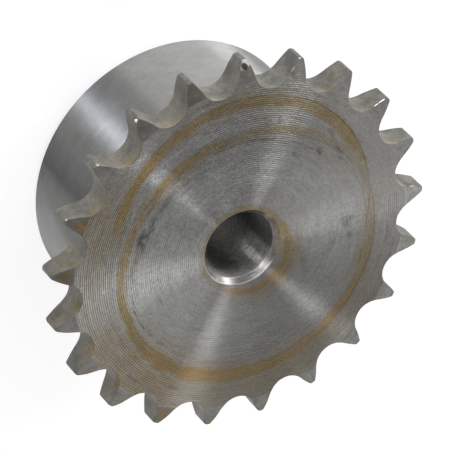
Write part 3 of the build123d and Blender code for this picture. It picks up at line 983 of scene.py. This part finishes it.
def bevel_material():
    """The lathe cut the bevels like the face, and they have dulled more."""
    g = Turned("turned_bevel")
    wave = g.grooves()
    uneven = g.streaks(g.radius, 3.0, 2.7, 2.0)
    deep = g.around((0, 0.7), (60, 1), (94, 1.3), (111, 0.6), (250, 1))
    swing = g.times(g.spread(uneven, 0.1, 1.5), deep)
    grain = g.cloudy(0.9, 5.0, 0.75)
    clouds = g.cloudy(0.5, 2.0, 0.6)
    normal = g.bump(g.times(wave, swing), BEVEL_GROOVE_DEPTH)
    normal = g.bump(grain, BEVEL_GRAIN_DEPTH, normal)
    rust = g.times(g.spots(BEVEL_RUST), g.spread(g.fade(grain, 0.35, 0.65), 0.5, 1.1))
    # painted shade and light across each groove
    shade = g.add(1.0, g.times(swing, g.add(GROOVE_PAINTED_SHADE, g.times(wave, -2 * GROOVE_PAINTED_SHADE))))
    tone = g.times(shade, g.vary(grain, 0.8, 1.2), g.spread(clouds, 0.7, 1.3))
    # painted light and shade on each bevel, by angle
    tone = g.times(tone, g.around(*BEVEL_PAINTED_LIGHT))
    # painted light near the crease; from 268 to 345 degrees painted shade there instead, fading outwards
    crease_shade_side = g.between(268, 345, 15)
    tone = g.times(tone, g.spread(g.times(g.fade(g.radius, 30.5, 30.1), g.rest(crease_shade_side)), 1.0, 1.12))
    tone = g.times(tone, g.spread(g.times(g.fade(g.radius, 31.8, 30.1), crease_shade_side), 1.04, 0.88))
    steel = g.shaded(BEVEL_STEEL, tone)
    lively = g.times(g.between(157, 170, 4), g.fade(g.cloudy(0.8, 3.0, 0.6), 0.42, 0.58))
    rust_tint = g.blend(lively, RUST_TINT, RUST_LIVELY)
    color = g.chip_with_painted_light(g.rusted(steel, rust, rust_tint))
    roughness = g.add(g.spread(grain, 0.46, 0.6), g.times(rust, 0.1))
    return g.finish(color, roughness, normal, 0.3, g.spread(rust, 0.75, 0.5))


# Rust on the walls of the gaps at their front edges: angle, reach, half length, half width, strength
WALL_RUST = (
    (208, 30.2, 2.5, 2.4, 1.35), (225.8, 30, 2.2, 2.2, 1.15), (190.8, 29.8, 2.5, 2.2, 1),
    (158.5, 29.8, 2.4, 1.3, 0.8), (176.3, 30.4, 1.3, 0.8, 1), (138.5, 29.3, 2.2, 1.4, 0.8),
    (64.2, 29.8, 1.6, 1.2, 0.7), (46.6, 30.2, 1.6, 1.2, 0.45), (29, 30.5, 1.6, 1.2, 0.4),
    (11.4, 31, 1.6, 1.2, 0.7), (244, 30.2, 1.8, 1.2, 0.4), (168, 29.6, 1.6, 1.2, 0.4),
)

# How stained the walls of the gaps are, by angle
WALL_STAIN = (
    (0, 0.3), (45, 0.35), (90, 0.25), (120, 0.6), (150, 0.9), (200, 1), (240, 0.7), (270, 0.2),
)


def teeth_material():
    """The cutter left the walls of the teeth matt; rust starts in the gaps and at the front edges."""
    g = Turned("cut_teeth")
    grain = g.cloudy(1.4, 5.0, 0.7)
    clouds = g.cloudy(0.32, 3.0, 0.6)
    cuts = g.noise(g.vector("MULTIPLY", g.place, (1.0, 1.0, 0.12)), 5.0, 2.0, 0.6)
    normal = g.bump(grain, WALL_GRAIN_DEPTH)
    normal = g.bump(cuts, CUT_DEPTH, normal)
    in_gap = g.fade(g.radius, 32.0, 29.2)
    near_face = g.fade(g.z, 25.2, 27.6)
    stain = g.fade(g.add(clouds, g.times(grain, 0.4)), 0.56, 0.86)
    stain = g.times(stain, g.around(*WALL_STAIN), g.add(0.35, g.times(in_gap, near_face, 0.6)))
    front = g.times(g.spots(WALL_RUST), g.fade(g.z, 25.7, 27.2))
    front = g.times(front, g.spread(g.fade(grain, 0.35, 0.6), 0.6, 1.1))
    rust = g.math("MINIMUM", g.strongest(stain, front), 1.3)
    # painted glints on the rubbed edges: near-white, smoother and more metallic
    edge = g.node("Attribute", {}, output=2, attribute_name="edge")
    glint = g.times(g.fade(edge, 0.2, 0.8), g.fade(g.cloudy(3.0, 2.0, 0.6), 0.3, 0.5))
    cloudy = g.fade(clouds, 0.32, 0.68)
    tone = g.times(g.vary(grain, 0.78, 1.22), g.spread(cloudy, 0.7, 1.3), g.spread(cuts, 0.9, 1.1))
    tone = g.times(tone, g.spread(in_gap, 0.86, 1.06), g.spread(g.times(in_gap, near_face), 1.0, 1.12))
    # painted light and shade: the walls that face the light lighter, the others darker
    tone = g.times(tone, g.around(*WALL_PAINTED_LIGHT))
    hue = g.fade(g.noise(g.vector("ADD", g.place, (7.0, 3.0, 5.0)), 0.45, 2.0), 0.35, 0.65)
    steel = g.shaded(g.blend(hue, TEETH_STEEL, GREENISH_STEEL), tone)
    lively = g.times(g.between(196, 231, 6), g.fade(front, 0.3, 1.1), g.vary(grain, 0.3, 0.85))
    rust_tint = g.blend(lively, RUST_TINT, RUST_LIVELY)
    color = g.rusted(steel, rust, rust_tint)
    color = g.blend(glint, g.chip_with_painted_light(color), GLINT_WHITE)
    roughness = g.add(g.spread(grain, 0.42, 0.58), g.times(rust, 0.1), g.times(glint, -0.2))
    return g.finish(color, roughness, normal, 0.0, g.spread(glint, 0.35, 1.0))


# Painted light and shade on the bore, by angle: deep down, and near the toothed face
BORE_PAINTED_LIGHT = ((0, 0.62), (60, 0.7), (150, 0.9), (235, 0.62), (275, 0.9), (310, 1), (335, 0.75))
BORE_TOP_PAINTED_LIGHT = (
    (0, 0.5), (90, 0.65), (200, 0.9), (238, 1), (249, 0.78), (262, 0.72), (280, 0.68), (292, 0.95),
    (308, 1), (326, 1.2), (338, 1.5), (350, 0.6),
)


def bore_material():
    """Reamed, with fine scratches that cross each other."""
    g = Turned("bored")
    lines = g.streaks(g.z, 3.0, 4.0, 3.0, 0.65)
    total = lines
    for lean, arc in ((0.9, 7), (-0.5, 9)):
        leaning = g.add(g.z, g.times(g.turn, 2 * pi * lean * BORE_RADIUS))
        total = g.add(total, g.streaks(leaning, arc, 2.6, 4.0, 0.75))
    scratches = g.fade(total, 1.1, 1.9)
    normal = g.bump(total, BORE_SCRATCH_DEPTH)
    # painted light and shade by angle, changing towards the toothed face
    near_top = g.fade(g.z, 18.5, 23.0)
    side = g.blend_value(near_top, g.around(*BORE_PAINTED_LIGHT), g.around(*BORE_TOP_PAINTED_LIGHT))
    # a painted highlight high on the bore's wall, between 307 and 326 degrees
    painted_patch = g.times(g.between(307, 326, 12), g.fade(g.z, 20.0, 24.0), g.fade(g.z, 26.5, 24.5))
    painted_patch = g.times(painted_patch, g.fade(lines, 0.35, 0.65))
    tone = g.times(g.spread(scratches, 0.62, 1.38), side, g.spread(painted_patch, 1.0, 4.4))
    steel = g.shaded(BORE_STEEL, tone)
    return g.finish(steel, g.spread(lines, 0.38, 0.52), normal, 0.8)


def chamfer_material():
    g = Turned("polished_chamfer")
    lines = g.streaks(g.radius, 3.0, 3.0, 2.0, 0.6)
    grain = g.cloudy(1.6, 4.0, 0.75)
    normal = g.bump(grain, CHAMFER_GRAIN_DEPTH)
    mottled = g.around((0, 0.3), (60, 0.22), (200, 0.1), (320, 0.12))
    mottle = g.times(mottled, g.vary(grain, -1.0, 1.0))
    tone = g.times(g.vary(lines, 0.78, 1.22), g.add(1.0, mottle))
    # painted highlights and shade on the chamfer, by angle
    tone = g.times(tone, g.around(*CHAMFER_PAINTED_LIGHT))
    outer = g.fade(g.radius, 6.7, 6.92)
    rust = g.around((0, 0.5), (30, 0.6), (60, 0.5), (100, 0.2), (200, 0.1), (330, 0.1))
    rust = g.times(rust, g.fade(grain, 0.3, 0.6))
    outer_rust = g.around((0, 0.5), (120, 0.35), (180, 0.2), (245, 0), (300, 0))
    rust = g.add(rust, g.times(outer, outer_rust))
    steel = g.shaded(CHAMFER_STEEL, tone)
    color = g.rusted(steel, rust, RUST_TINT)
    roughness = g.add(g.spread(grain, 0.2, 0.32), g.times(outer, 0.2))
    return g.finish(color, roughness, normal, 0.4, stretch=0.0)


def plain_turned_material():
    """The faces at the back, out of the weather: turned, without the rings."""
    g = Turned("turned_back")
    wave = g.grooves()
    scratches = g.streaks(g.radius, 9.0, 9.0, 3.0, 0.6)
    normal = g.bump(wave, BACK_GROOVE_DEPTH)
    normal = g.bump(scratches, SCRATCH_DEPTH, normal)
    blotches = g.cloudy(0.16, 3.0, 0.55)
    tone = g.times(g.spread(scratches, 0.86, 1.14), g.spread(blotches, 0.86, 1.14))
    # painted light and shade across each groove
    steel = g.shaded(FACE_STEEL, g.times(tone, g.spread(wave, 1.06, 0.9)))
    rust = g.times(g.fade(g.cloudy(0.4, 4.0, 0.65), 0.52, 0.75), 0.4)
    color = g.rusted(steel, rust, RUST_TINT)
    return g.finish(color, g.spread(scratches, 0.38, 0.48), normal, 0.95)


def dress(piece, surfaces):
    """Gives the faces after each ring the material of their surface."""
    back = plain_turned_material()
    materials = {
        "face": face_material(), "bevel": bevel_material(), "teeth": teeth_material(),
        "hub": hub_material(), "chamfer": chamfer_material(), "bore": bore_material(),
        "back": back, "end": back,
    }
    used = []
    for material in materials.values():
        if material not in used:
            used.append(material)
            piece.data.materials.append(material)
    indices = []
    for surface in surfaces:
        indices += [used.index(materials[surface])] * STATIONS
    piece.data.polygons.foreach_set("material_index", indices)


sprocket, ring_surfaces = make_sprocket()
dress(sprocket, ring_surfaces)
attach(sprocket, "root")
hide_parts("sprocket")


# ---------------------------------------------------------------- floor, light and camera
FLOOR_HALF = 6.0
FLOOR_GLOW = 0.72
LAMP_REACH = 0.9
WORLD_AT_HORIZON = 0.58
WORLD_OVERHEAD = 0.2
PAPER = (0.8, 0.8, 0.8, 1)
DIM_PAPER = (0.4, 0.4, 0.4, 1)
PAINTED_SHADE_REACH = 0.8  # how far the painted shade on the floor under the bore reaches, as a share of the hub's radius
PAINTED_SHADE_GLOW = 0.35  # the share of the glow that is left there

# The photo's camera, from a fit of the part's outline to the one in the photo
LENS = 328.213
AIM = (-3.482, 4.621, PLATE_TOP)
CAMERA_AZIMUTH, CAMERA_ELEVATION = 132.588, 49.188
CAMERA_ROLL = 135.521
CAMERA_DISTANCE = 661.97


def floor_material():
    """Dull paper that looks white to the camera and in the metal, with painted shade seen inside the
    bore.
    """
    g = Graph("white_floor")
    nodes, links = g.tree.nodes, g.tree.links
    nodes.remove(g.shader)
    out = nodes["Material Output"]
    path = nodes.new("ShaderNodeLightPath").outputs
    seen = g.add(path["Is Camera Ray"], path["Is Glossy Ray"], path["Is Transmission Ray"])
    seen = g.math("MINIMUM", seen, 1.0)
    paper = g.node("BsdfDiffuse", {"Color": PAPER})
    dim_paper = g.node("BsdfDiffuse", {"Color": DIM_PAPER})
    place = nodes.new("ShaderNodeTexCoord").outputs["Object"]
    from_axis = g.vector("LENGTH", place, output=1)
    # painted shade on the floor under the hub
    shade = g.fade(from_axis, PAINTED_SHADE_REACH * HUB_RADIUS * MM, HUB_RADIUS * MM)
    light = g.node("Emission", {"Strength": g.spread(shade, PAINTED_SHADE_GLOW * FLOOR_GLOW, FLOOR_GLOW)})
    lit = g.node("AddShader", {0: dim_paper, 1: light})
    links.new(g.node("MixShader", {0: seen, 1: paper, 2: lit}), out.inputs["Surface"])
    return g.material


def make_floor():
    mesh = bpy.data.meshes.new("floor")
    h = FLOOR_HALF
    mesh.from_pydata([(-h, -h, 0), (h, -h, 0), (h, h, 0), (-h, h, 0)], [], [(0, 1, 2, 3)])
    floor = bpy.data.objects.new("floor", mesh)
    floor.data.materials.append(floor_material())
    bpy.context.scene.collection.objects.link(floor)


def direction(azimuth, elevation):
    a, e = radians(azimuth), radians(elevation)
    return Vector((cos(e) * cos(a), cos(e) * sin(a), sin(e)))


def make_camera():
    camera = bpy.data.cameras.new("camera")
    camera.sensor_width = 36.0
    camera.lens = LENS
    camera.clip_start = 0.01
    camera.clip_end = 20.0
    view = bpy.data.objects.new("camera", camera)
    bpy.context.scene.collection.objects.link(view)
    aim = Vector(AIM) * MM
    away = direction(CAMERA_AZIMUTH, CAMERA_ELEVATION)
    roll = Matrix.Rotation(radians(CAMERA_ROLL), 4, "Z")
    turn = away.to_track_quat("Z", "Y").to_matrix().to_4x4() @ roll
    view.matrix_world = Matrix.Translation(aim + away * CAMERA_DISTANCE * MM) @ turn
    bpy.context.scene.camera = view


# Name, azimuth, elevation, width and height in metres, and irradiance where the part stands in W/m2.
# Placed after a solver had shown which directions light the photo.
LAMPS = (
    ("lamp_near", 141, 35, 0.12, 0.12, 0.45),
    ("lamp_near_low", 140, 12, 0.12, 0.12, 0.5),
    ("lamp_right", 25, 46, 0.15, 0.15, 0.25),
    ("lamp_right_low", 38.5, 15, 0.3, 0.3, 1.1),
    ("lamp_side_low", 76, 12, 1.1, 0.35, 2.2),
    ("lamp_left", 243, 46, 0.36, 0.36, 0.6),
    ("lamp_far", 352, 30, 0.7, 0.7, 0.5),
)


def make_lamps():
    for name, azimuth, elevation, width, height, light in LAMPS:
        lamp = bpy.data.lights.new(name, "AREA")
        lamp.shape = "ELLIPSE"
        lamp.size = width
        lamp.size_y = height
        lamp.energy = light * pi * LAMP_REACH**2
        obj = bpy.data.objects.new(name, lamp)
        bpy.context.scene.collection.objects.link(obj)
        way = direction(azimuth, elevation)
        obj.location = way * LAMP_REACH
        obj.rotation_euler = way.to_track_quat("Z", "Y").to_euler()


def make_world():
    """A plain grey room, a little darker overhead."""
    world = bpy.data.worlds.new("studio")
    bpy.context.scene.world = world
    world.use_nodes = True
    nodes, links = world.node_tree.nodes, world.node_tree.links
    way = nodes.new("ShaderNodeTexCoord")
    axes = nodes.new("ShaderNodeSeparateXYZ")
    level = nodes.new("ShaderNodeMapRange")
    level.inputs["To Min"].default_value = WORLD_AT_HORIZON
    level.inputs["To Max"].default_value = WORLD_OVERHEAD
    links.new(way.outputs["Generated"], axes.inputs[0])
    links.new(axes.outputs["Z"], level.inputs["Value"])
    links.new(level.outputs[0], nodes["Background"].inputs["Color"])


make_floor()
make_camera()
make_lamps()
make_world()
bpy.context.scene.view_settings.view_transform = "Standard"
